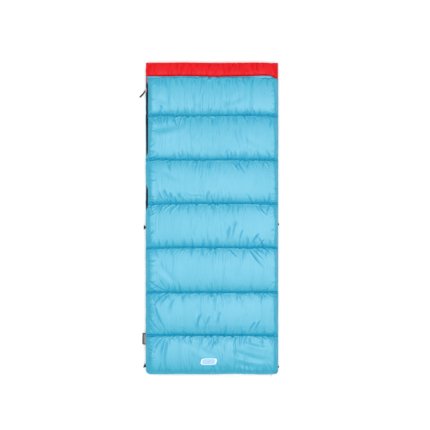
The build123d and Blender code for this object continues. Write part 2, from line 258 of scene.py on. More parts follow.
def weave(tree, pitch):
    """The piece's own coordinates, and the height of crossed threads on them."""
    place = add_node(tree, "ShaderNodeTexCoord").outputs["Object"]
    inputs = {"Scale": 0.314 / pitch, "Distortion": 0.4, "Detail": 1.0, "Vector": place}
    warp, weft = [
        add_node(tree, "ShaderNodeTexWave", inputs, bands_direction=way).outputs["Fac"] for way in "XY"
    ]
    crossing = add_node(tree, "ShaderNodeMath", {0: warp, 1: weft}, operation="MULTIPLY")
    return place, crossing.outputs[0]


def fabric_material(name, lit, fold_shade_colour, rough, gloss_level, pitch):
    """Woven cloth with painted shade: darker in colour and less glossy where its folds and seams are in
    shade.
    """
    material, tree, shader = new_material(name)
    place, threads = weave(tree, pitch)
    cloud = noise(tree, place, 5.0, 4.0)
    # Painted shade mask kept on the points: high in seams, grooves and folds
    depth = add_node(tree, "ShaderNodeAttribute", attribute_name="fold_shade_mask").outputs["Fac"]
    uneven = add_node(tree, "ShaderNodeMath", {0: cloud, 1: 0.30, 2: -0.12}, operation="MULTIPLY_ADD")
    total = add_node(
        tree, "ShaderNodeMath", {0: uneven.outputs[0], 1: depth}, operation="ADD", use_clamp=True
    )
    # Random tone from the noise plus the painted shade runs the colour from lit to the shade colour
    join_colour(tree, shader, total.outputs[0], lit, fold_shade_colour)
    join_range(tree, shader, "Roughness", cloud, rough + 0.06, rough - 0.06)
    # The painted shade also lowers the gloss in the folds
    join_range(tree, shader, "Specular IOR Level", depth, gloss_level, 0.12 * gloss_level)
    bump(tree, shader, threads, 0.12, pitch * 0.35)
    return material


def plain_material(name, base, rough, metal=0.0, grain=400.0, depth=0.00012, spread=0.25):
    """Moulded, painted or spun finish with a fine grain and a little unevenness."""
    material, tree, shader = new_material(name)
    place = add_node(tree, "ShaderNodeTexCoord").outputs["Object"]
    specks = noise(tree, place, grain, 3.0)
    darker = [c * (1 - spread) for c in base]
    paler = [min(1.0, c * (1 + spread)) for c in base]
    join_colour(tree, shader, specks, darker, paler)
    join_range(tree, shader, "Roughness", specks, rough - 0.08, rough + 0.08)
    shader.inputs["Metallic"].default_value = metal
    bump(tree, shader, specks, 0.4, depth)
    return material


def rimmed_material(name, middle, border):
    """Woven or printed piece with a border round its blank middle."""
    material, tree, shader = new_material(name)
    threads = weave(tree, 0.0009)[1]
    rim = add_node(tree, "ShaderNodeAttribute", attribute_name="rim")
    join_colour(tree, shader, rim.outputs["Fac"], middle, border)
    shader.inputs["Roughness"].default_value = 0.75
    shader.inputs["Sheen Weight"].default_value = 0.2
    bump(tree, shader, threads, 0.5, 0.0003)
    return material


# Finishes by the names that the pieces ask for
MATERIALS = {}


def make_materials(colours):
    """Makes every finish."""
    # Each fabric's colour where it faces the light and its painted fold shade; the trim's shade colour is
    # fixed
    shell, fold_shade_colour = tuple(colours.shell), tuple(colours.shell_fold_shade)
    lining, lining_fold_shade = tuple(colours.lining), tuple(colours.lining_fold_shade)
    trim, trim_fold_shade = tuple(colours.trim), (0.002, 0.002, 0.003)
    # Each fabric: material name, lit colour, painted shade colour, roughness, gloss level, thread pitch
    fabrics = {
        "shell_fabric": ("Shell taffeta", shell, fold_shade_colour, 0.45, 1.00, 0.0007),
        "lining_fabric": ("Lining taffeta", lining, lining_fold_shade, 0.45, 0.17, 0.0007),
        "zip_tape": ("Zip tape twill", trim, trim_fold_shade, 0.8, 0.15, 0.0009),
        "webbing": ("Loop webbing", trim, trim_fold_shade, 0.85, 0.15, 0.0012),
    }
    MATERIALS.update({key: fabric_material(*values) for key, values in fabrics.items()})
    MATERIALS.update(
        zip_coil=plain_material("Zip coil nylon", (0.010, 0.010, 0.012), 0.45),
        quilt_thread=plain_material("Quilting thread", (0.002, 0.30, 0.49), 0.6, grain=900.0),
        lining_thread=plain_material("Lining thread", (0.42, 0.006, 0.012), 0.55, grain=900.0),
        slider_paint=plain_material(
            "Slider enamel", (0.66, 0.060, 0.030), 0.32, grain=150.0, depth=0.00005
        ),
        pull_metal=plain_material("Blackened pull", (0.16, 0.16, 0.17), 0.36, metal=0.8, depth=0.00004),
        pull_cord=plain_material("Strap rubber", (0.006, 0.005, 0.007), 0.8, grain=700.0),
        patch_print=rimmed_material("Patch film", (0.36, 0.60, 0.76), (0.78, 0.85, 0.90)),
        label=rimmed_material("Label weave", (0.33, 0.27, 0.28), (0.014, 0.011, 0.013)),
        floor=plain_material(
            "Studio floor", (0.955, 0.945, 0.938), 0.9, grain=3.0, depth=0.0001, spread=0.01
        ),
    )


# Mesh helpers


def add_object(name, mesh):
    """Puts a mesh or curve in the scene."""
    piece = bpy.data.objects.new(name, mesh)
    bpy.context.scene.collection.objects.link(piece)
    return piece


def finish_piece(piece, body, material, nodes=()):
    """Gives a piece its finish and body, and hides the nodes that it stands for."""
    piece.data.materials.clear()
    piece.data.materials.append(MATERIALS[material])
    if nodes:
        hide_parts(*nodes)
    if body:
        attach(piece, body)
    return piece


def mark_points(mesh, name, values):
    """Keeps a value on each point, for a finish to read."""
    layer = mesh.attributes.new(name, "FLOAT", "POINT")
    layer.data.foreach_set("value", np.asarray(values, np.float32).reshape(-1))


def grid_faces(rows, columns, loop=False):
    """Corners of each face of a grid of points, rows first."""
    index = np.arange(rows * columns).reshape(rows, columns)
    if loop:
        index = np.concatenate([index, index[:, :1]], axis=1)
    return np.stack([index[:-1, :-1], index[:-1, 1:], index[1:, 1:], index[1:, :-1]], -1).reshape(-1, 4)


def grid_object(name, points, depth=None, down=False, loop=False):
    """A smooth mesh over a grid of points, rows first."""
    faces = grid_faces(*points.shape[:2], loop)
    if down:
        faces = faces[:, ::-1]
    mesh = bpy.data.meshes.new(name)
    mesh.from_pydata(points.reshape(-1, 3).tolist(), [], faces.tolist())
    mesh.polygons.foreach_set("use_smooth", np.ones(len(faces), bool))
    # The depth given here is kept as the painted-shade mask that the fabric finish reads
    if depth is not None:
        mark_points(mesh, "fold_shade_mask", depth)
    return add_object(name, mesh)


def thicken(piece, thickness, offset=-1.0):
    """Gives a sheet its fabric's thickness, behind it or, with no offset, to both sides."""
    modifier = piece.modifiers.new("Fabric", "SOLIDIFY")
    modifier.thickness = thickness
    modifier.offset = offset
    modifier.use_even_offset = False


def recalculated(piece):
    """Turns a closed mesh's faces outwards."""
    shape = bmesh.new()
    shape.from_mesh(piece.data)
    bmesh.ops.remove_doubles(shape, verts=shape.verts, dist=1e-6)
    bmesh.ops.recalc_face_normals(shape, faces=shape.faces)
    shape.to_mesh(piece.data)
    shape.free()
    return piece


# Cloth relaxation: grid cloth that is longer than the space it is sewn into


def pairs(count, start):
    """Every second pair of neighbours, so that no point is in two pairs."""
    return slice(start, count - 1, 2), slice(start + 1, count, 2)


def pull(points, free, first, second, rest, stiffness):
    """Moves two sets of grid points towards their distance in the flat cloth."""
    gap = points[second] - points[first]
    length = np.sqrt((gap * gap).sum(-1, keepdims=True)) + 1e-9
    share = stiffness * (1 - rest / length) / np.maximum(free[first] + free[second], 1e-9) * gap
    points[first] += free[first] * share
    points[second] -= free[second] * share


def curvature(points):
    """How sharply the grid bends at each point."""
    bent = np.zeros_like(points)
    bent[1:-1] += points[2:] + points[:-2] - 2 * points[1:-1]
    bent[:, 1:-1] += points[:, 2:] + points[:, :-2] - 2 * points[:, 1:-1]
    return bent


THREAD_STIFFNESS, SHEAR_STIFFNESS = 0.9, 0.2


def relax(points, free, across, along, height, passes, bend, fill, limits):
    """Settles the cloth: thread lengths, shear, bending, the fill's push and what it rests on."""
    rows, columns = points.shape[:2]
    every, left, right = slice(None), slice(0, -1), slice(1, None)
    slant = np.sqrt(across[:-1] ** 2 + along[:, :-1] ** 2)
    for _ in range(passes):
        for start in (0, 1):
            a, b = pairs(columns, start)
            pull(points, free, (every, a), (every, b), across[:, start::2], THREAD_STIFFNESS)
            a, b = pairs(rows, start)
            pull(points, free, (a, every), (b, every), along[start::2], THREAD_STIFFNESS)
            pull(points, free, (a, left), (b, right), slant[start::2], SHEAR_STIFFNESS)
            pull(points, free, (a, right), (b, left), slant[start::2], SHEAR_STIFFNESS)
        points -= bend * free * curvature(free * curvature(points))
        points[..., 2:] += fill * free * (height - points[..., 2:])
        points[..., 2:] = np.where(free > 0, np.clip(points[..., 2:], *limits), points[..., 2:])
    return points


def halved(grid):
    """The grid with midpoints added along both sides."""
    fine = np.zeros((2 * grid.shape[0] - 1, 2 * grid.shape[1] - 1, grid.shape[2]))
    fine[::2, ::2] = grid
    fine[1::2, ::2] = (grid[1:] + grid[:-1]) / 2
    fine[:, 1::2] = (fine[:, 2::2] + fine[:, :-1:2]) / 2
    return fine


# The grid's step, passes, resistance to bending and push of the fill, coarsest first
STAGES = ((4, 450, 0.012, 0.020), (2, 350, 0.010, 0.018), (1, 220, 0.005, 0.010))
FIRST_WOBBLE, LATER_WOBBLE = 0.0025, 0.0003


def settle(start, free, across, along, height, finest, seed, limits):
    """Relaxes the cloth on coarser grids first, so that long folds come before short ones."""
    rng = np.random.default_rng(seed)
    cloth = None
    for step, passes, bend, fill in STAGES:
        if step < finest:
            break
        rough = start[::step, ::step].copy()
        loose = free[::step, ::step]
        if cloth is not None:
            rough = np.where(loose > 0, halved(cloth), rough)
        wobble = FIRST_WOBBLE if cloth is None else LATER_WOBBLE
        rough[..., 2] += wobble * rng.normal(0, 1, rough.shape[:2]) * loose[..., 0]
        cloth = relax(
            rough, loose,
            across[::step, ::step][:, : loose.shape[1] - 1] * step,
            along[::step, ::step][: loose.shape[0] - 1] * step,
            height[::step, ::step, None],
            passes, bend, fill, limits,
        )
    return cloth


def gentle(rng, count, knots):
    """A smooth random line of about unit size."""
    values = rng.normal(0, 1, knots)
    place = np.linspace(0, knots - 1.001, count)
    index = place.astype(int)
    part = place - index
    part = part * part * (3 - 2 * part)
    return values[index] * (1 - part) + values[np.minimum(index + 1, knots - 1)] * part


def side_profile(distance):
    """How a panel's edge rounds up, from 0 at the edge to 1."""
    return np.sqrt(1 - np.clip(1 - distance, 0, 1) ** 2)


def in_metres(folds):
    """Each fold's start, end, depth and half width."""
    metres = [[value / 1000 for value in fold] for fold in folds]
    return [((ax, ay), (bx, by), depth, width) for ax, ay, bx, by, depth, width in metres]


# Sharp folds of the cover, in millimetres: start x and y, end x and y, depth, half width
CREASES = in_metres((
    (-392, -376, -262, -452, 3.4, 4.6), (-376, -402, -292, -449, 3.0, 4.0),
    (-388, -430, -322, -452, 2.5, 4.0), (-322, -372, -268, -440, 2.1, 4.3),
    (-300, -462, -372, -560, 3.4, 5.0), (-264, -462, -330, -548, 3.0, 4.3),
    (-338, -458, -392, -508, 2.6, 4.0), (-350, -530, -272, -700, 3.3, 5.3),
    (-392, -590, -300, -706, 3.0, 4.6), (-384, -660, -340, -712, 2.5, 4.0),
    (-232, -480, -262, -600, 2.0, 5.6), (128, 352, 174, 284, 2.8, 4.0),
    (158, 352, 206, 268, 3.1, 4.0), (188, 352, 226, 300, 2.5, 3.7),
    (-22, 350, -30, 286, 2.5, 4.3), (-88, 350, -104, 270, 2.1, 4.6),
    (108, -186, 162, -236, 3.0, 4.3), (232, -190, 322, -300, 3.6, 4.6),
    (258, -188, 316, -246, 2.8, 4.0), (296, -186, 330, -224, 2.1, 3.7),
    (286, -90, 238, -178, 3.1, 4.6), (318, -128, 290, -178, 2.5, 4.0),
    (112, -40, 94, -178, 2.5, 5.0), (152, -10, 126, -150, 2.0, 5.0),
    (190, -62, 168, -178, 1.8, 5.0), (-330, 166, -288, 92, 2.8, 4.3),
    (-296, 180, -244, 92, 3.1, 4.3), (-262, 160, -216, 92, 2.6, 4.0),
    (-206, 156, -168, 92, 2.5, 4.3), (-22, 166, -30, 96, 2.5, 4.3),
    (284, 80, 342, 18, 2.8, 4.3), (268, 82, 296, 40, 2.1, 3.7),
    (-240, 80, -262, 20, 2.3, 4.3), (-316, 80, -378, 30, 2.5, 4.0),
    (0, 618, 6, 560, 2.8, 4.0), (-78, 618, -84, 570, 2.3, 4.0),
    (18, 616, -8, 572, 2.0, 3.7), (250, 616, 292, 590, 2.1, 3.7),
    (-104, 780, -110, 700, 1.8, 5.0), (0, 674, -14, 632, 2.1, 3.7),
    (86, 840, 78, 770, 1.6, 5.0), (-106, 850, -86, 800, 2.0, 5.0),
    (190, 850, 214, 800, 1.8, 5.0), (-380, 808, -330, 850, 2.3, 4.3),
    (-300, 664, -330, 700, 2.1, 4.3), (144, 560, 170, 430, 1.1, 4.3),
    (168, 560, 196, 440, 1.1, 4.3), (-72, -580, -90, -706, 2.8, 5.0),
    (-10, -590, -44, -690, 2.0, 5.0), (54, -560, 28, -690, 1.8, 5.6),
    (262, -630, 222, -706, 2.5, 5.0), (296, -620, 256, -706, 2.1, 5.0),
    (-330, -724, -386, -800, 2.8, 4.6), (-306, -726, -362, -840, 3.0, 5.0),
    (-284, -728, -316, -870, 2.8, 5.3), (-266, -726, -286, -932, 2.5, 6.2),
    (24, -740, -12, -830, 2.3, 5.6), (0, -728, -28, -800, 1.8, 5.0),
    (-180, 946, -184, 884, 2.8, 5.0), (-10, 948, -24, 898, 2.8, 5.0),
    (112, 932, 100, 878, 3.0, 4.6), (150, 940, 132, 876, 2.5, 4.6),
    (236, 948, 262, 880, 3.0, 4.3), (262, 944, 288, 890, 2.5, 4.0),
    (206, 918, 236, 878, 2.3, 4.3), (-330, 900, -352, 874, 2.1, 4.3),
))
# Broad soft folds, given in the same way
SWATHES = in_metres((
    (200, -738, 384, -772, 3.4, 15.0), (120, -806, 376, -868, 4.0, 19.0),
    (150, -878, 340, -908, 3.0, 17.0), (-130, -760, 60, -850, 2.0, 20.0),
    (10, -900, 200, -925, 2.0, 14.0), (-380, 545, -160, 590, 2.6, 24.0),
    (-300, 300, -150, 220, 1.6, 22.0), (-340, -250, -210, -400, 2.0, 18.0),
    (70, 700, 210, 760, 1.6, 20.0), (-330, 740, -200, 680, 1.6, 20.0),
    (210, 500, 330, 420, 1.4, 20.0), (-100, -520, -40, -660, 1.6, 18.0),
))


def groove_relief(x, y, grooves, lead):
    """Grooves with a low ridge on one side of each; the lead is how soon a groove is full."""
    total = np.zeros_like(x)
    row_y, column_x = y.mean(1), x.mean(0)
    for (ax, ay), (bx, by), depth, width in grooves:
        run = math.hypot(bx - ax, by - ay)
        reach = 4 * width + 0.06 * run + 0.004
        rows = np.searchsorted(row_y, (min(ay, by) - reach, max(ay, by) + reach))
        columns = np.searchsorted(column_x, (min(ax, bx) - reach, max(ax, bx) + reach))
        part = (slice(*rows), slice(*columns))
        ux, uy = (bx - ax) / run, (by - ay) / run
        dx, dy = x[part] - ax, y[part] - ay
        t = (dx * ux + dy * uy) / run
        side = dx * uy - dy * ux - 0.05 * run * np.sin(np.pi * np.clip(t, 0, 1))
        fade = np.clip(t * 6 + lead, 0, 1) * np.clip((1 - t) * 1.8, 0, 1)
        ridge = 0.6 * np.exp(-(((side - 1.6 * width) / width) ** 2))
        total[part] += depth * fade * (ridge - np.exp(-((side / width) ** 2)))
    return total


def streaks(seed, left, right, foot):
    """Faint long lines where the gathered cloth runs across a channel."""
    rng = np.random.default_rng(seed + 1)
    lines = [foot + FOOT_STRIP] + QUILT_LINES[:-1] + [HEM_Y - HEM_STRIP]
    grooves = []
    for low, high in zip(lines, lines[1:]):
        x = left + 0.02
        while x < right - 0.02:
            start, end = rng.uniform(0, 0.45), rng.uniform(0.55, 1.0)
            if rng.random() < 0.5:
                start, end = 1 - start, 1 - end
            place = low + (high - low) * start, low + (high - low) * end
            lean = rng.normal(0, 0.10) * (place[1] - place[0])
            depth = 0.00025 + 0.00065 * rng.random() ** 2
            grooves.append(((x, place[0]), (x + lean, place[1]), depth, rng.uniform(0.0026, 0.0040)))
            x += rng.uniform(0.006, 0.020)
    return grooves


def gathers(seed, left, right, foot):
    """Short grooves that run off every sewn line, off both sides and across the head band."""
    rng = np.random.default_rng(seed)
    grooves = []
    starts = [(line, way, 1.0) for line in QUILT_LINES[:-1] for way in (-1, 1)]
    starts += [(foot + FOOT_STRIP, 1, 0.7), (HEM_Y - HEM_STRIP, -1, 1.1)]
    for line, way, share in starts:
        x = left + 0.013
        while x < right - 0.013:
            end = math.exp(-min(x - left, right - x) / 0.07)
            strong = rng.random() ** 3.0
            run = 0.014 + 0.060 * strong + 0.014 * end
            lean = rng.normal(0, 0.22) + 0.45 * end * (1 if x < 0 else -1)
            depth = share * (0.0011 + 0.0021 * strong + 0.0009 * end)
            width = 0.0024 + 0.0016 * strong
            grooves.append(((x, line + way * 0.001), (x + lean * run, line + way * run), depth, width))
            x += rng.uniform(0.0070, 0.0190)
    for edge, way, share in ((left + 0.002, 1, 1.0), (right - 0.002, -1, 0.45)):
        y = foot + 0.035
        while y < HEM_Y - 0.016:
            strong = rng.random() ** 2.0
            run = 0.020 + 0.040 * strong
            climb = rng.normal(0.12, 0.38) * run
            depth = share * (0.0015 + 0.0020 * strong)
            grooves.append(((edge, y), (edge + way * run, y + climb), depth, 0.0026 + 0.0010 * strong))
            y += rng.uniform(0.0080, 0.0165)
    for start, way in ((HEM_Y + 0.001, 1), (HEAD_Y - 0.002, -1)):
        x = left + 0.01
        while x < right - 0.01:
            strong = rng.random() ** 1.6
            run = 0.018 + 0.050 * strong
            lean = rng.normal(0, 0.22)
            depth = 0.0012 + 0.0020 * strong
            grooves.append(((x, start), (x + lean * run, start + way * run), depth, 0.0034))
            x += rng.uniform(0.014, 0.042)
    return grooves


def rows_along(foot, head, grid):
    """Row places from foot to head, each row's place in its channel, and the sewn rows."""
    lines = [foot, foot + FOOT_STRIP] + QUILT_LINES[:-1] + [HEM_Y - HEM_STRIP, HEM_Y, head]
    places, part, channel, sewn = [], [], [], []
    for number, (a, b) in enumerate(zip(lines, lines[1:])):
        count = max(STRIP_CELLS, int(round(1.04 * (b - a) / grid / 4)) * 4)
        share = np.linspace(0, 1, count + 1)[:-1]
        spread = share if count == STRIP_CELLS else share - 0.055 * np.sin(2 * np.pi * share)
        sewn.append(len(places))
        places += list(a + (b - a) * spread)
        part += list(spread)
        channel += [number] * count
    sewn.append(len(places))
    places.append(head)
    part.append(1.0)
    channel.append(len(lines) - 2)
    return np.array(places), np.array(part), np.array(channel), sewn


def rounded_corners(points, edges, radii):
    """Draws the grid's foot corners onto arcs."""
    left, right, foot, _ = edges
    for side, edge, radius in ((1, left, radii[0]), (-1, right, radii[1])):
        a = 1 - side * (points[..., 0] - edge) / radius
        b = 1 - (points[..., 1] - foot) / radius
        inside = (a > 0) & (b > 0)
        a, b = np.clip(a, 0, 1), np.clip(b, 0, 1)
        x = edge + side * radius * (1 - a * np.sqrt(1 - b * b / 2))
        y = foot + radius * (1 - b * np.sqrt(1 - a * a / 2))
        points[..., 0] = np.where(inside, x, points[..., 0])
        points[..., 1] = np.where(inside, y, points[..., 1])


def rise(y, at, run):
    """A smooth step from 0 to 1 along the bag."""
    return 1 / (1 + np.exp(-(y - at) / run))


def overhang(y, hidden, hem, band):
    """How far the cover's zip side hangs out; it draws back where the zip shows."""
    first, second, third = ZIP_SHOWN
    covered = 1 - rise(y, first, 0.007) + rise(y, second, 0.008) - rise(y, third, 0.009)
    round_hem = rise(y, HEM_TURN, 0.006)
    middle, run = BAND_BULGE
    round_band = rise(y, BAND_TURN, 0.003) * (1 + 0.3 * np.exp(-(((y - middle) / run) ** 2)))
    return hidden * covered + hem * round_hem + (band - hem) * round_band


class Sheet(NamedTuple):
    """One quilted sheet: its outline, the heights of its borders and sewn lines, and its swell."""

    edges: tuple  # left, right, foot and head
    edge_z: float
    flange_z: float
    line_z: float
    hem_z: float
    swell: float  # rise of a channel between its lines, and of the head band
    hem_swell: float
    limits: tuple  # lowest and highest place of the settled cloth
    hang: tuple  # how far the zip side hangs out: over the zip, at the hem, at the head band
    relief: float  # share of the folds' depth, below 0 where the sheet faces down

    def line_heights(self):
        """Height of each sewn line, from the foot's edge to the head's."""
        middle = (self.line_z * 2 + self.hem_z) / 3
        lines = [self.line_z] * (len(QUILT_LINES) - 1)
        return np.array([self.edge_z, self.flange_z, *lines, middle, self.hem_z, self.edge_z])

    def swells(self):
        """Rise of the cloth between each two sewn lines."""
        channels = [self.swell] * len(QUILT_LINES)
        return np.array([0.03 * self.swell, *channels, 0.04 * self.swell, self.hem_swell])


def column_places(left, right, inner, climb, run):
    """Column places with even cloth between them: a flange, the rounded panel, a flange."""
    a, b = left + FLANGE, right - FLANGE
    fine = np.linspace(0, 1, 4001)
    width = b - a
    height = climb * side_profile(np.minimum(fine, 1 - fine) * width / run)
    length = np.concatenate([[0], np.cumsum(np.hypot(np.diff(fine) * width, np.diff(height)))])
    shares = np.linspace(0, 1, inner + 1)
    placed = a + width * np.interp(shares * length[-1], length, fine)
    even = a + width * shares
    near = np.linspace(left, a, STRIP_CELLS + 1)[:-1]
    far = np.linspace(b, right, STRIP_CELLS + 1)[1:]
    return np.concatenate([near, placed, far]), np.concatenate([near, even, far]), length[-1] / inner


def filled_height(sheet, layout, x, inside, run):
    """The height that the fill pushes each point to, and the height of the border under it."""
    _, part, channel, _ = layout["rows"]
    lines = sheet.line_heights()
    level = lines[channel] * (1 - part) + lines[channel + 1] * part
    dome = sheet.swells()[channel] * (4 * part * (1 - part)) ** 0.32
    dome = dome[:, None] * layout["unevenness"][channel]
    reach = run * (1 + 0.45 * np.tanh(np.where(x[None] < 0, *layout["runs"])))
    side = np.where(inside > 0, side_profile(np.clip(inside, 0, 1) / reach), 0)
    brim = sheet.edge_z + (sheet.flange_z - sheet.edge_z) * np.clip(1 + inside / FLANGE, 0, 1)
    return brim + ((level - sheet.flange_z)[:, None] + dome) * side, brim


def sewn_cloth(sheet, layout, places, height, brim, inside):
    """The cloth before it settles, its sewn rows and borders in place, and which points are free."""
    x, y, even = places
    left, right, foot, head = sheet.edges
    sewn = layout["rows"][3]
    lines = sheet.line_heights()
    flanges = (STRIP_CELLS, len(x) - 1 - STRIP_CELLS)
    cloth = np.dstack([np.repeat(x[None], len(y), 0), np.repeat(y[:, None], len(x), 1), height])
    free = np.ones((len(y), len(x), 1))
    free[:, [0, flanges[0], flanges[1], -1]] = 0
    easing = side_profile(np.clip(inside, 0, 1) / 0.02)
    for number, row in enumerate(sewn):
        free[row] = 0
        cloth[row, :, 0] = even
        cloth[row, :, 2] = brim + (lines[number] - sheet.flange_z) * easing
        cloth[row] += layout["wander"][number]
    cloth[[0, -1], :, 2] = sheet.edge_z
    drop, start, run = BAND_DROOP
    droop = drop * np.clip((x - start) / run, 0, 1) ** 1.3
    cloth[..., 1] -= droop * np.exp(-(((y - HEM_Y) / 0.020) ** 2))[:, None]
    if sheet.hang:
        cloth[..., 0] -= overhang(y, *sheet.hang)[:, None] * np.clip(1 - (cloth[..., 0] - left) / 0.09, 0, 1)
    border = layout["border"]
    for column, sway in ((0, border[0]), (-1, border[1])):
        cloth[:, column, 0] += sway
        cloth[:, column, 2] += border[2]
    for column in flanges:
        cloth[:, column, 2] += border[3]
    cloth[0, 1:-1, 2] += layout["foot_border"][1:-1]
    hung = sheet.hang[0] if sheet.hang else 0.0
    rounded_corners(cloth, (left - hung, right, foot, head), FOOT_CORNERS)
    return cloth, free


def thread_lengths(y, height, near_line, cell, settings):
    """Lengths of the cloth's threads across and along, with the extra cloth that gathers at the lines."""
    columns = height.shape[1]
    fullness = settings.fullness - 1 + 0.022 * np.exp(-((near_line / 0.014) ** 2))
    cells = np.full(columns - 1, cell)
    cells[:STRIP_CELLS] = cells[-STRIP_CELLS:] = FLANGE / STRIP_CELLS
    across = (cells[None] * (1 + fullness[:, None]))[..., None]
    arc = np.hypot(np.diff(y), np.diff(height[:, columns // 2]))
    along = np.repeat(arc[:, None, None], columns, 1) * 1.004
    return across, np.concatenate([along, along[-1:]])


def quilt_sheet(sheet, layout, settings, finest):
    """Builds and settles one sheet; returns its points and its painted-shade mask, how much shade to paint
    at each point.
    """
    y, _, _, sewn = layout["rows"]
    left, right, foot, head = sheet.edges
    low = layout["foot"]
    y = np.interp(y, [low, low + FOOT_STRIP, HEM_Y, y[-1]], [foot, foot + FOOT_STRIP, HEM_Y, head])
    x, even, cell = column_places(left, right, layout["inner"], abs(sheet.swell), settings.side_run)
    inside = np.minimum(x - left, right - x) - FLANGE
    height, brim = filled_height(sheet, layout, x, inside, settings.side_run)
    cloth, free = sewn_cloth(sheet, layout, (x, y, even), height, brim, inside)
    near_line = np.min(np.abs(y[:, None] - y[sewn[1:-1]][None]), 1)
    across, along = thread_lengths(y, height, near_line, cell, settings)
    settled = settle(cloth, free, across, along, height, finest, settings.seed, sheet.limits)
    settled[..., 0] = np.minimum(settled[..., 0], HINGE_X - HINGE_CLEAR)
    # Distance to the seams, where press_folds paints shade
    near_seam = np.min(np.abs(y[::finest, None] - y[[*sewn[2:-3], sewn[-2]]][None]), 1)
    depth = press_folds(
        settled, sheet, settings.seed, near_line[::finest, None], near_seam[:, None], inside[None, ::finest]
    )
    return settled, depth


def press_folds(settled, sheet, seed, near_line, near_seam, inside):
    """Presses the folds into a settled sheet and returns the painted-shade mask for seams, edges and
    grooves.
    """
    place, box = (settled[..., 0], settled[..., 1]), (seed, *sheet.edges[:3])
    # Painted shade along the quilt seams and, weaker, along the panel's edges
    depth = np.exp(-((near_seam / 0.0027) ** 2)) + 0.15 * np.exp(-((inside / 0.0022) ** 2))
    ease = np.clip((inside + FLANGE) / FLANGE, 0, 1) * np.clip(near_line / 0.0025, 0, 1)
    sharp, soft = groove_relief(*place, gathers(*box), 0.6) * ease, 0
    if sheet.relief == 1.0:
        sharp += groove_relief(*place, CREASES, 0.1) * ease
        soft = (groove_relief(*place, streaks(*box), 0.3) + groove_relief(*place, SWATHES, 0.0)) * ease
    settled[..., 2] += (sharp + soft) * sheet.relief
    # Painted shade in the grooves, weaker near the panel's edges
    groove_shade = np.clip(-sharp / 0.0042, 0, 0.6) * (0.35 + 0.65 * np.clip(inside / 0.05, 0, 1))
    return np.clip(depth + groove_shade * abs(sheet.relief), 0, 1)


def panel_layout(settings, seed, foot, head):
    """The rows, columns, borders and wandering of the sewn lines that a panel's sheets share."""
    rng = np.random.default_rng(seed)
    rows = rows_along(foot, head, settings.grid)
    inner = int(round(CLOTH_WIDTH / settings.grid / 4)) * 4
    columns = inner + 1 + 2 * STRIP_CELLS
    count = len(rows[0])
    ends = np.sin(np.pi * np.linspace(0, 1, columns)) ** 0.35
    wander = []
    for _ in rows[3]:
        drift = np.zeros((columns, 3))
        drift[:, 0] = (0.0016 * gentle(rng, columns, 10) + 0.0007 * gentle(rng, columns, 36)) * ends
        drift[:, 1] = 0.0017 * gentle(rng, columns, 9) * ends
        drift[:, 2] = 0.0005 * rng.normal(0, 1, columns) * ends
        wander.append(drift)
    border = [
        0.0006 * gentle(rng, count, 60), 0.0004 * gentle(rng, count, 50),
        0.0008 * gentle(rng, count, 120), 0.0007 * gentle(rng, count, 100),
    ]
    return {
        "rows": rows, "foot": foot, "inner": inner, "wander": wander, "border": border,
        "foot_border": 0.0008 * gentle(rng, columns, 50),
        "runs": [gentle(rng, count, 26)[:, None] for _ in range(2)],
        "unevenness": np.array([
            1 + 0.035 * gentle(rng, columns, 9) + 0.025 * gentle(rng, columns, 26) for _ in rows[3]
        ]),
    }


def make_panels(settings):
    """Cover and base, each with its shell, head facing and liner."""
    head = HEAD_Y - 0.001
    cover = (
        Sheet(
            edges=(-0.3915, 0.4025, FOOT_Y + 0.0005, head), edge_z=0.0545, flange_z=0.0590,
            line_z=0.0600, hem_z=0.0655, swell=0.0270, hem_swell=0.0135,
            limits=(0.0560, 0.0915), hang=(0.0130, 0.0050, 0.0120), relief=1.0,
        ),
        Sheet(
            edges=(-0.3905, 0.4014, FOOT_Y + 0.0085, head - 0.001), edge_z=0.0530, flange_z=0.0530,
            line_z=0.0525, hem_z=0.0525, swell=-0.0050, hem_swell=-0.0040,
            limits=(0.0478, 0.0532), hang=(0.0065, 0.0030, 0.0100), relief=-0.4,
        ),
    )
    base = (
        Sheet(
            edges=(-0.4055, 0.4025, FOOT_Y + 0.0002, head), edge_z=0.0340, flange_z=0.0315,
            line_z=0.0215, hem_z=0.0215, swell=-0.0250, hem_swell=-0.0200,
            limits=(0.0008, 0.0318), hang=(), relief=-0.5,
        ),
        Sheet(
            edges=(-0.4042, 0.4014, FOOT_Y + 0.0015, head - 0.001), edge_z=0.0350, flange_z=0.0352,
            line_z=0.0358, hem_z=0.0358, swell=0.0045, hem_swell=0.0035,
            limits=(0.0348, 0.0405), hang=(), relief=0.4,
        ),
    )
    for body, (outer, inner), seed, down in (("cover", cover, 21, False), ("base", base, 22, True)):
        layout = panel_layout(settings, seed, outer.edges[2], outer.edges[3])
        step = 2 if down else 1
        sewn = layout["rows"][3]
        shell, depth = quilt_sheet(outer, layout, settings, step)
        liner, liner_fold_shade = quilt_sheet(inner, layout, settings, 2)
        hem = sewn[-2] // step
        SURFACES.update({
            body: shell, body + "_sewn": [row // step for row in sewn],
            body + "_flange": STRIP_CELLS // step,
            body + "_liner": liner, body + "_liner_sewn": [row // 2 for row in sewn],
        })
        # Each piece: name, points, painted-shade mask, facing down, finish, nodes it stands for
        pieces = (
            (f"{body}_quilted_shell", shell[: hem + 1], depth[: hem + 1], down, "shell_fabric",
             (f"{body}_outer_shell", f"{body}_batt")),
            (f"{body}_quilted_facing", shell[hem:], depth[hem:], down, "lining_fabric",
             (f"{body}_head_facing",)),
            (f"{body}_quilted_liner", liner, liner_fold_shade, not down, "lining_fabric",
             (f"{body}_liner",)),
        )
        for name, points, folds, downward, finish, nodes in pieces:
            piece = grid_object(name, points, folds, downward)
            thicken(piece, settings.fabric)
            finish_piece(piece, body, finish, nodes)


# Folded side


def fold_border(grid):
    """A sheet's border from the end of the zip, round the foot corner and up the folded side."""
    foot = grid[0][grid[0][:, 0] > FOLD_START_X]
    return matched(np.concatenate([foot[:-1], grid[:, -1]]), FOLD_ROWS)


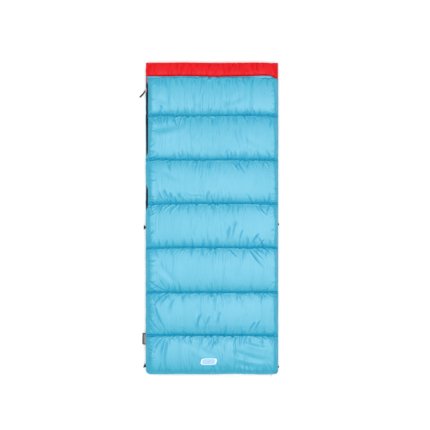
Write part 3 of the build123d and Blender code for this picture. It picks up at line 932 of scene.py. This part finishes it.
def make_side_fold():
    """Shell and lining run on round the folded side, from the base up to the cover."""
    steps = np.linspace(0, 1, 13)
    for name, layer, bulge, finish, nodes in (
        ("side_fold_shell", "", 0.0016, "shell_fabric", ("base_side_fold", "cover_side_fold")),
        ("side_fold_lining", "_liner", 0.0004, "lining_fabric", ()),
    ):
        low, high = fold_border(SURFACES["base" + layer]), fold_border(SURFACES["cover" + layer])
        outward = np.gradient((low + high) / 2, axis=0)[:, [1, 0]] * (1, -1)
        outward /= np.linalg.norm(outward, axis=1, keepdims=True)
        rows = low[:, None] * (1 - steps[:, None]) + high[:, None] * steps[:, None]
        rows[..., :2] += outward[:, None] * bulge * np.sin(np.pi * steps)[:, None]
        # A fixed share of painted fold shade over the whole strip
        strip = grid_object(name, rows, np.full(rows.shape[:2], 0.35), down=True)
        thicken(strip, 0.0007, 0.0)
        finish_piece(strip, None, finish, nodes)
        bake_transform(strip)


# Geometry Nodes: a shape repeated along a path


def repeat_tree(name, sizes, turn_up):
    """A tree that sets a rounded shape at even steps along the path given to it."""
    tree = bpy.data.node_groups.new(name, "GeometryNodeTree")
    tree.interface.new_socket("Path", in_out="INPUT", socket_type="NodeSocketGeometry")
    for label, value in zip(("Step", "Length", "Width", "Height"), sizes):
        socket = tree.interface.new_socket(label, in_out="INPUT", socket_type="NodeSocketFloat")
        socket.default_value = value
    seed = tree.interface.new_socket("Seed", in_out="INPUT", socket_type="NodeSocketInt")
    seed.default_value = 1
    tree.interface.new_socket("Material", in_out="INPUT", socket_type="NodeSocketMaterial")
    tree.interface.new_socket("Geometry", in_out="OUTPUT", socket_type="NodeSocketGeometry")

    given = add_node(tree, "NodeGroupInput").outputs
    curve = add_node(tree, "GeometryNodeMeshToCurve", {"Mesh": given["Path"]}).outputs["Curve"]
    path = {"Curve": curve, "Length": given["Step"]}
    steps = add_node(tree, "GeometryNodeResampleCurve", path, mode="LENGTH")
    tangent = add_node(tree, "GeometryNodeInputTangent").outputs["Tangent"]
    facing = add_node(
        tree, "FunctionNodeAlignRotationToVector", {"Vector": tangent},
        axis="X", pivot_axis="Z" if turn_up else "AUTO",
    )
    bead = add_node(tree, "GeometryNodeMeshUVSphere", {"Segments": 6, "Rings": 4, "Radius": 0.5})
    size = {0: given["Length"], 1: given["Width"], 2: given["Height"]}
    size = add_node(tree, "ShaderNodeCombineXYZ", size).outputs[0]
    spread = {2: 0.92, 3: 1.08, "Seed": given["Seed"]}
    wobble = add_node(tree, "FunctionNodeRandomValue", spread, data_type="FLOAT").outputs[1]
    scaled = add_node(tree, "ShaderNodeVectorMath", {0: size, "Scale": wobble}, operation="SCALE")
    place = add_node(tree, "GeometryNodeInstanceOnPoints", {
        "Points": steps.outputs["Curve"], "Instance": bead.outputs["Mesh"],
        "Rotation": facing.outputs["Rotation"], "Scale": scaled.outputs["Vector"],
    })
    real = add_node(tree, "GeometryNodeRealizeInstances", {"Geometry": place.outputs["Instances"]})
    finish = {"Geometry": real.outputs["Geometry"], "Material": given["Material"]}
    painted = add_node(tree, "GeometryNodeSetMaterial", finish)
    add_node(tree, "NodeGroupOutput", {"Geometry": painted.outputs["Geometry"]})
    return tree


def repeat_along(name, paths, tree, values, material):
    """Runs the tree over the paths and keeps its result as a plain mesh."""
    points, edges = [], []
    for path in paths:
        first = len(points)
        points += [tuple(map(float, p)) for p in path]
        edges += [(first + i, first + i + 1) for i in range(len(path) - 1)]
    mesh = bpy.data.meshes.new(name)
    mesh.from_pydata(points, edges, [])
    piece = add_object(name, mesh)
    modifier = piece.modifiers.new("Repeat", "NODES")
    modifier.node_group = tree
    for item in tree.interface.items_tree:
        if item.in_out == "INPUT" and item.name in values:
            modifier[item.identifier] = values[item.name]
        if item.in_out == "INPUT" and item.name == "Material":
            modifier[item.identifier] = MATERIALS[material]
    bpy.context.view_layer.update()
    graph = bpy.context.evaluated_depsgraph_get()
    made = bpy.data.meshes.new_from_object(piece.evaluated_get(graph))
    piece.modifiers.clear()
    piece.data = made
    made.polygons.foreach_set("use_smooth", np.ones(len(made.polygons), bool))
    return piece


def make_stitches(settings):
    """Sewn lines across both panels, the hem's rows and the rows along the edges."""
    sizes = (settings.spacing, settings.length, settings.thread, settings.thread)
    tree = repeat_tree("Stitch row", sizes, False)
    values = {**dict(zip(("Step", "Length", "Width", "Height"), sizes)), "Seed": 3}
    lift = np.array([0, 0, 0.0003])
    for body, sign in (("cover", 1), ("base", -1)):
        shell, sewn = SURFACES[body], SURFACES[body + "_sewn"]
        flange, hem_row = SURFACES[body + "_flange"], sewn[-2]
        lines = [shell[row, flange : -flange] + sign * lift for row in sewn[1:-2]]
        lines += [shell[sewn[1] : hem_row, column] + sign * lift for column in (flange, -1 - flange)]
        name = f"{body}_quilting_thread"
        thread = repeat_along(name, lines, tree, values, "quilt_thread")
        nodes = [f"{body}_quilt_seam_{n}" for n in range(1, 8)]
        finish_piece(thread, body, "quilt_thread", nodes)
        near = shell[hem_row + (2 if body == "cover" else 1)] + sign * lift
        liner = SURFACES[body + "_liner"]
        inside = [liner[row] - sign * lift for row in SURFACES[body + "_liner_sewn"][1:-1]]
        hem = repeat_along(f"{body}_lining_thread", [near] + inside, tree, values, "lining_thread")
        finish_piece(hem, body, "lining_thread")


# Zip


def chain_path(top, end, z, out=0.0):
    """The chain's line: down the side, round the corner and along the foot."""
    corner = Vector((CHAIN_X + CHAIN_RADIUS, CHAIN_Y + CHAIN_RADIUS))
    points = [(CHAIN_X - out, y, z) for y in np.linspace(top, corner.y, 220)]
    for turn in np.linspace(math.pi, 1.5 * math.pi, CORNER_STEPS + 2)[1:-1]:
        reach = CHAIN_RADIUS + out
        points.append((corner.x + reach * math.cos(turn), corner.y + reach * math.sin(turn), z))
    points += [(x, CHAIN_Y - out, z) for x in np.linspace(corner.x, end, 100)]
    return np.array(points)


def border_path(grid, top, end):
    """A panel's border from the head down the zip side and along the foot."""
    side, foot = grid[::-1, 0], grid[0]
    side = side[side[:, 1] <= top]
    foot = foot[1:][foot[1:, 0] <= end]
    return np.concatenate([side, foot])


def matched(path, count):
    """The path's points, spread evenly again by length."""
    length = np.concatenate([[0], np.cumsum(np.linalg.norm(np.diff(path, axis=0), axis=1))])
    places = np.linspace(0, length[-1], count)
    return np.stack([np.interp(places, length, path[:, i]) for i in range(3)], 1)


def ribbon_mesh(name, rails, depth=0.2):
    """A strip through rails of equally many points."""
    grid = np.stack(rails, 1)
    # depth is a fixed share of painted fold shade over the whole strip
    return grid_object(name, grid, np.full(grid.shape[:2], depth))


def make_tapes(settings):
    """Each row's woven tape, from its panel's border to the chain."""
    count = 600
    heights = (("base", 0.0358, 0.0385, 0.0425), ("cover", 0.0535, 0.0505, 0.0455))
    for body, edge_z, turn_z, end_z in heights:
        border = matched(border_path(SURFACES[body + "_liner"], TAPE_TOP_Y, TAPE_END_X), count)
        chain = matched(chain_path(TAPE_TOP_Y, TAPE_END_X, 0), count)
        sewn, turn, end = border.copy(), chain.copy(), chain.copy()
        sewn[:, 2], turn[:, 2], end[:, 2] = edge_z, turn_z, end_z
        waver = 0.00025 * np.sin(np.arange(count) * 0.9)
        turn[:, 0] += waver
        middle = (sewn + turn) / 2
        tape = ribbon_mesh(f"{body}_zip_ribbon", [sewn, middle, turn, end])
        thicken(tape, settings.tape, 0.0)
        finish_piece(tape, body, "zip_tape", (f"{body}_zip_tape",))
    edge = matched(border_path(SURFACES["base"], HEAD_Y, TAPE_END_X), count)
    turned = matched(chain_path(HEAD_Y, TAPE_END_X, 0.0362, out=0.0022), count)
    binding = ribbon_mesh("base_zip_binding", [edge, (edge + turned) / 2 + (0, 0, 0.0008), turned], 0.25)
    thicken(binding, 0.0006, 0.0)
    finish_piece(binding, "base", "shell_fabric")


GARAGE = {"x": -0.4002, "foot": 0.8265, "length": 0.040, "z": 0.0415, "rise": 0.0085, "reach": 0.0044}


def make_zip_garage():
    """A sliver of lining turned out over the top end of the zip."""
    rows = []
    for v in np.linspace(0, 1, 15):
        full = math.sin(math.pi * min(1.0, 0.12 + v)) ** 0.5 if v > 0.88 else min(1.0, 0.35 + 4 * v)
        line = []
        for u in np.linspace(0, 1, 9):
            out = GARAGE["reach"] * full * math.cos(math.pi * (0.92 - 0.60 * u))
            line.append((
                GARAGE["x"] + out, GARAGE["foot"] + GARAGE["length"] * v,
                GARAGE["z"] + GARAGE["rise"] * u * full,
            ))
        rows.append(line)
    # A fixed share of painted fold shade over the whole sliver
    garage = grid_object("zip_garage", np.array(rows), np.full((15, 9), 0.3), down=True)
    thicken(garage, 0.0010, 0.0)
    finish_piece(garage, "base", "lining_fabric")


def make_coils(settings):
    """Two rows of coil teeth, half a step apart so that they mesh."""
    length, width, height = 0.0014, 0.0032, 0.0050
    tree = repeat_tree("Coil row", (settings.pitch, length, width, height), True)
    for body, z, shift in (("base", HINGE_Z - 0.0014, 0.0), ("cover", HINGE_Z + 0.0014, 0.5)):
        path = chain_path(TEETH_TOP_Y - shift * settings.pitch, TEETH_END_X, z)
        values = {
            "Step": settings.pitch, "Length": length, "Width": width, "Height": height, "Seed": 5,
        }
        row = repeat_along(f"{body}_zip_coil", [path], tree, values, "zip_coil")
        finish_piece(row, body, "zip_coil", (f"{body}_zip_teeth",))


def make_hardware():
    """Sliders, stops, box, pin, link and tab keep their model's shapes and get their finishes."""
    finishes = {
        "head_slider": "slider_paint", "foot_slider": "slider_paint", "head_pull_link": "pull_metal",
        "foot_pull_tab": "pull_metal", "base_top_stop": "zip_coil", "cover_top_stop": "zip_coil",
        "zip_retainer_box": "zip_coil", "zip_insertion_pin": "zip_coil",
    }
    for node, material in finishes.items():
        mesh = frame["nodes"][node].data
        mesh.materials.clear()
        mesh.materials.append(MATERIALS[material])


# The strap's middle line, from the slider's link down to the floor
STRAP_ROUTE = (
    (-0.4104, 0.7794, 0.0440),
    (-0.4160, 0.7714, 0.0410),
    (-0.4228, 0.7636, 0.0340),
    (-0.4326, 0.7552, 0.0180),
    (-0.4440, 0.7476, 0.0054),
)


def make_strap(settings):
    """The head slider's pull strap, a short thick cord that droops to the floor."""
    curve = bpy.data.curves.new("pull_strap", "CURVE")
    curve.dimensions = "3D"
    spline = curve.splines.new("NURBS")
    spline.points.add(len(STRAP_ROUTE) - 1)
    for point, place in zip(spline.points, STRAP_ROUTE):
        point.co = (*place, 1)
    spline.order_u = 3
    spline.use_endpoint_u = True
    spline.resolution_u = 12
    curve.bevel_depth = settings.strap / 2
    curve.bevel_resolution = 6
    curve.use_fill_caps = True
    strap = add_object("pull_strap", curve)
    finish_piece(strap, "head_pull", "pull_cord", ("head_pull_cord",))


# Loops, label, patch and draft tube


# Each loop's root and, at the zip side, the direction in degrees that it points
LOOPS = (
    ("hang_loop_left_mid", (-0.4030, -0.055, 0.0305), 180),
    ("hang_loop_left_foot", (-0.4030, -0.908, 0.0305), 162),
    ("hang_loop_right_mid", (0.4042, -0.036, 0.0300), None),
    ("hang_loop_right_foot", (0.4042, -0.912, 0.0300), None),
)


LOOP_ROWS, LOOP_SIDES = 13, 24
LOOP_ROOT, LOOP_RUN = -0.0010, 0.0170  # where a loop starts behind its root, and its length
LOOP_NECK, LOOP_FLARE = 0.0036, 0.0112  # half width where it is sewn, and how much wider its fold is


def loop_point(root, turn, out, side, up):
    """A loop's point: its distance out, its side and its thickness, turned and drooping."""
    x, y, z = root
    if turn is None:
        return x + 0.42 * max(0.0, out) + up, y + side, z - out
    way = math.radians(turn)
    across = -math.sin(way) * side, math.cos(way) * side
    place = x + out * math.cos(way) + across[0], y + out * math.sin(way) + across[1]
    return (*place, z + up - 0.30 * max(0.0, out - 0.003))


def make_loops():
    """Four hanging loops of folded webbing: pinched where they are sewn and wide at their fold."""
    for name, root, turn in LOOPS:
        rings = []
        for step in np.linspace(0, 1, LOOP_ROWS):
            out = LOOP_ROOT + LOOP_RUN * step
            wide = (LOOP_NECK + LOOP_FLARE * step ** 1.15) * (1 if turn else 0.50)
            thick = 0.0014 + 0.0004 * math.sin(math.pi * step)
            thick *= math.sqrt(1 - (max(0.0, step - 0.85) / 0.16) ** 2)
            ring = []
            for angle in np.linspace(0, 2 * math.pi, LOOP_SIDES, endpoint=False):
                c, s = math.cos(angle), math.sin(angle)
                side = math.copysign(abs(c) ** 0.35, c) * wide
                up = math.copysign(abs(s) ** 0.6, s) * thick
                ring.append(loop_point(root, turn, out, side, up))
            rings.append(ring)
        # A fixed share of painted fold shade over the whole webbing
        folds = np.full((LOOP_ROWS, LOOP_SIDES), 0.2)
        band = grid_object(name + "_band", np.array(rings), folds, loop=True)
        close_ends(band, LOOP_SIDES)
        finish_piece(recalculated(band), "base", "webbing", (name,))


def close_ends(piece, sides):
    """Caps the two open rings of a swept band."""
    shape = bmesh.new()
    shape.from_mesh(piece.data)
    shape.verts.ensure_lookup_table()
    shape.faces.new([shape.verts[i] for i in range(sides)])
    total = len(shape.verts)
    shape.faces.new([shape.verts[total - sides + i] for i in range(sides)])
    shape.to_mesh(piece.data)
    shape.free()


def make_label():
    """A blank folded label with a dark border, hanging from the base's seam."""
    low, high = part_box("side_label")
    rows = np.linspace(0, 1, 29)
    columns = np.linspace(0, 1, 15)
    reach = high.x - low.x
    points, rim = [], []
    for v in rows:
        line, marks = [], []
        for u in columns:
            sag = 0.0010 * math.sin(2.2 * math.pi * v) * u
            x = high.x + 0.0008 - reach * u * (0.985 + 0.02 * math.sin(5 * v))
            z = high.z - 0.0012 - (high.z - low.z - 0.002) * (u ** 1.15) + sag + 0.0012
            line.append((x, low.y + (high.y - low.y) * v, max(z, low.z + 0.0004)))
            framed = v < 0.085 or v > 0.90 or u > 0.93 or 0.52 < u < 0.60
            marks.append(1.0 if framed else 0.72 if u > 0.60 else 0.0)
        points.append(line)
        rim.append(marks)
    label = grid_object("side_label_fold", np.array(points), down=True)
    mark_points(label.data, "rim", rim)
    thicken(label, 0.0011, 0.0)
    finish_piece(label, "base", "label", ("side_label",))


PATCH_RINGS = (0.001, 0.2, 0.4, 0.6, 0.75, 0.82, 0.86, 0.90, 0.95, 1.0)
PATCH_FIELD = 0.84  # share of the patch inside its rim
PATCH_SLANT = 0.22  # sideways lean of its ends


def make_patch():
    """A blank printed patch with rounded ends, lying on the cover near the foot."""
    low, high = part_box("cover_patch")
    cover = SURFACES["cover"]
    faces = grid_faces(*cover.shape[:2])
    tree = BVHTree.FromPolygons(cover.reshape(-1, 3).tolist(), faces.tolist())
    middle = (low + high) / 2
    half_x, half_y = (high.x - low.x) / 2, (high.y - low.y) / 2
    spokes = 72
    points = []
    for ring in PATCH_RINGS:
        line = []
        for turn in np.linspace(0, 2 * math.pi, spokes, endpoint=False):
            c, s = math.cos(turn), math.sin(turn)
            y = math.copysign(abs(s) ** 0.45, s) * half_y
            x = math.copysign(abs(c) ** 0.45, c) * (half_x - PATCH_SLANT * half_y) + PATCH_SLANT * y
            hit = tree.ray_cast(Vector((middle.x + x * ring, middle.y + y * ring, 0.3)), Vector((0, 0, -1)))
            line.append(tuple(hit[0] + hit[1] * 0.0005))
        points.append(line)
    patch = grid_object("blank_patch", np.array(points), loop=True)
    mark_points(patch.data, "rim", np.repeat([ring > PATCH_FIELD for ring in PATCH_RINGS], spokes))
    thicken(patch, 0.0005, 0.0)
    finish_piece(recalculated(patch), "cover", "patch_print", ("cover_patch",))


def make_draft_tube():
    """The filled tube behind the zip, puckered along its seam."""
    low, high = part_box("draft_tube")
    middle = (low + high) / 2
    rng = np.random.default_rng(31)
    count, sides = 420, 20
    swell = 1 - 0.06 * np.abs(gentle(rng, count, 160)) - 0.03 * np.abs(gentle(rng, count, 60))
    places = np.linspace(low.y, high.y, count)
    ends = np.sqrt(np.clip(1 - (2 * np.linspace(0, 1, count) - 1) ** 40, 0.02, 1))
    points = []
    for y, full, end in zip(places, swell, ends):
        line = []
        for turn in np.linspace(0, 2 * math.pi, sides, endpoint=False):
            ripple = 1 + 0.03 * math.sin(3 * turn + 40 * y)
            x = middle.x + (high.x - low.x) * 0.47 * math.cos(turn) * full * end * ripple
            z = 0.0462 + 0.0030 * math.sin(turn) * full * end
            line.append((x, y, z))
        points.append(line)
    tube = grid_object("draft_tube_quilt", np.array(points), loop=True)
    close_ends(tube, sides)
    finish_piece(recalculated(tube), "cover", "lining_fabric", ("draft_tube",))


# Stage


def area_light(name, place, target, size, power):
    """A white softbox that looks at the target."""
    data = bpy.data.lights.new(name, "AREA")
    data.shape = "RECTANGLE"
    data.size, data.size_y = size
    data.energy = power
    lamp = bpy.data.objects.new(name, data)
    bpy.context.scene.collection.objects.link(lamp)
    lamp.location = place
    lamp.rotation_mode = "QUATERNION"
    lamp.rotation_quaternion = (Vector(target) - Vector(place)).to_track_quat("-Z", "Y")


def make_stage(settings):
    """Pale floor, soft light from above and the camera straight over the bag."""
    scene = bpy.context.scene
    floor_grid = np.array([[(x, y, 0.0) for x in (-14, 14)] for y in (-14, 14)], float)
    floor = grid_object("studio_floor", floor_grid)
    floor.data.materials.append(MATERIALS["floor"])
    camera_data = bpy.data.cameras.new("Overhead camera")
    camera_data.sensor_width = 36.0
    camera_data.lens = 36.0 * (settings.height - 0.045) / settings.field
    camera_data.clip_start, camera_data.clip_end = 0.1, 60.0
    camera = bpy.data.objects.new("Overhead camera", camera_data)
    scene.collection.objects.link(camera)
    camera.location = (0.018, 0.021, settings.height)
    scene.camera = camera
    area_light("Overhead softbox", (0.25, -0.32, 7.5), (0.25, -0.32, 0), (4.6, 4.0), settings.overhead)
    for name, x, y, share in (
        ("Left softbox", -3.2, 0.4, 1.25), ("Right softbox", 3.2, 0.0, 0.85),
        ("Head softbox", 0.0, 3.4, 1.05), ("Foot softbox", 0.2, -3.4, 0.85),
    ):
        area_light(name, (x, y, 3.2), (0, 0, 0), (1.6, 1.6), settings.sides * share)
    world = bpy.data.worlds.new("Studio")
    world.use_nodes = True
    sky = world.node_tree.nodes["Background"]
    sky.inputs["Color"].default_value = (1.0, 1.0, 1.0, 1)
    sky.inputs["Strength"].default_value = settings.sky
    scene.world = world
    scene.view_settings.view_transform = "Standard"
    scene.view_settings.look = "None"


# Operators


class BAG_OT_stage(bpy.types.Operator):
    """Makes the floor, the lights, the camera and the finishes"""

    bl_idname = "bag.stage"
    bl_label = "Stage and finishes"

    def execute(self, context):
        make_materials(context.scene.bag_colours)
        make_stage(context.scene.bag_stage)
        return {"FINISHED"}


class BAG_OT_pull_strap(bpy.types.Operator):
    """Makes the head slider's pull strap"""

    bl_idname = "bag.pull_strap"
    bl_label = "Pull strap"

    def execute(self, context):
        make_strap(context.scene.bag_zip)
        return {"FINISHED"}


class BAG_OT_quilted_panels(bpy.types.Operator):
    """Makes the quilted cover and base with their liners and head facings"""

    bl_idname = "bag.quilted_panels"
    bl_label = "Quilted panels"

    def execute(self, context):
        make_panels(context.scene.bag_quilting)
        return {"FINISHED"}


class BAG_OT_side_fold(bpy.types.Operator):
    """Joins the two panels along the folded side"""

    bl_idname = "bag.side_fold"
    bl_label = "Folded side"

    def execute(self, context):
        make_side_fold()
        return {"FINISHED"}


class BAG_OT_stitches(bpy.types.Operator):
    """Sews the quilting lines and the hem"""

    bl_idname = "bag.stitches"
    bl_label = "Stitches"

    def execute(self, context):
        make_stitches(context.scene.bag_stitching)
        return {"FINISHED"}


class BAG_OT_zip(bpy.types.Operator):
    """Makes the zip's tapes and coils and finishes its metal parts"""

    bl_idname = "bag.zip"
    bl_label = "Zip"

    def execute(self, context):
        make_tapes(context.scene.bag_zip)
        make_coils(context.scene.bag_zip)
        make_zip_garage()
        make_hardware()
        return {"FINISHED"}


class BAG_OT_loops(bpy.types.Operator):
    """Makes the four hanging loops"""

    bl_idname = "bag.loops"
    bl_label = "Hanging loops"

    def execute(self, context):
        make_loops()
        return {"FINISHED"}


class BAG_OT_label(bpy.types.Operator):
    """Makes the blank side label"""

    bl_idname = "bag.label"
    bl_label = "Side label"

    def execute(self, context):
        make_label()
        return {"FINISHED"}


class BAG_OT_patch(bpy.types.Operator):
    """Lays the blank patch on the cover"""

    bl_idname = "bag.patch"
    bl_label = "Blank patch"

    def execute(self, context):
        make_patch()
        return {"FINISHED"}


class BAG_OT_draft_tube(bpy.types.Operator):
    """Makes the filled tube behind the zip"""

    bl_idname = "bag.draft_tube"
    bl_label = "Draft tube"

    def execute(self, context):
        make_draft_tube()
        return {"FINISHED"}


OPERATORS = (
    BAG_OT_stage, BAG_OT_pull_strap, BAG_OT_quilted_panels, BAG_OT_side_fold, BAG_OT_stitches,
    BAG_OT_zip, BAG_OT_loops, BAG_OT_label, BAG_OT_patch, BAG_OT_draft_tube,
)
SETTINGS = {
    "bag_quilting": BagQuilting, "bag_zip": BagZip, "bag_stitching": BagStitching,
    "bag_colours": BagColours, "bag_stage": BagStage,
}


class BAG_PT_parts(bpy.types.Panel):
    """Lists the bag's parts in the sidebar"""

    bl_idname = "BAG_PT_parts"
    bl_label = "Sleeping bag"
    bl_space_type = "VIEW_3D"
    bl_region_type = "UI"
    bl_category = "Bag"

    def draw(self, context):
        for operator in OPERATORS:
            self.layout.operator(operator.bl_idname)
        for name, group in SETTINGS.items():
            box = self.layout.box()
            for key in group.__annotations__:
                box.prop(getattr(context.scene, name), key)


def register():
    """Adds the settings, the operators and the panel."""
    for group in SETTINGS.values():
        bpy.utils.register_class(group)
    for name, group in SETTINGS.items():
        setattr(bpy.types.Scene, name, bpy.props.PointerProperty(type=group))
    for operator in OPERATORS:
        bpy.utils.register_class(operator)
    bpy.utils.register_class(BAG_PT_parts)


def unregister():
    """Takes them away again."""
    bpy.utils.unregister_class(BAG_PT_parts)
    for operator in reversed(OPERATORS):
        bpy.utils.unregister_class(operator)
    for name in SETTINGS:
        delattr(bpy.types.Scene, name)
    for group in reversed(list(SETTINGS.values())):
        bpy.utils.unregister_class(group)


def main():
    """Makes every piece in order."""
    register()
    bpy.ops.bag.stage()
    bpy.ops.bag.pull_strap()
    bpy.ops.bag.quilted_panels()
    bpy.ops.bag.side_fold()
    bpy.ops.bag.stitches()
    bpy.ops.bag.zip()
    bpy.ops.bag.loops()
    bpy.ops.bag.label()
    bpy.ops.bag.patch()
    bpy.ops.bag.draft_tube()


if __name__ == "__main__":
    main()
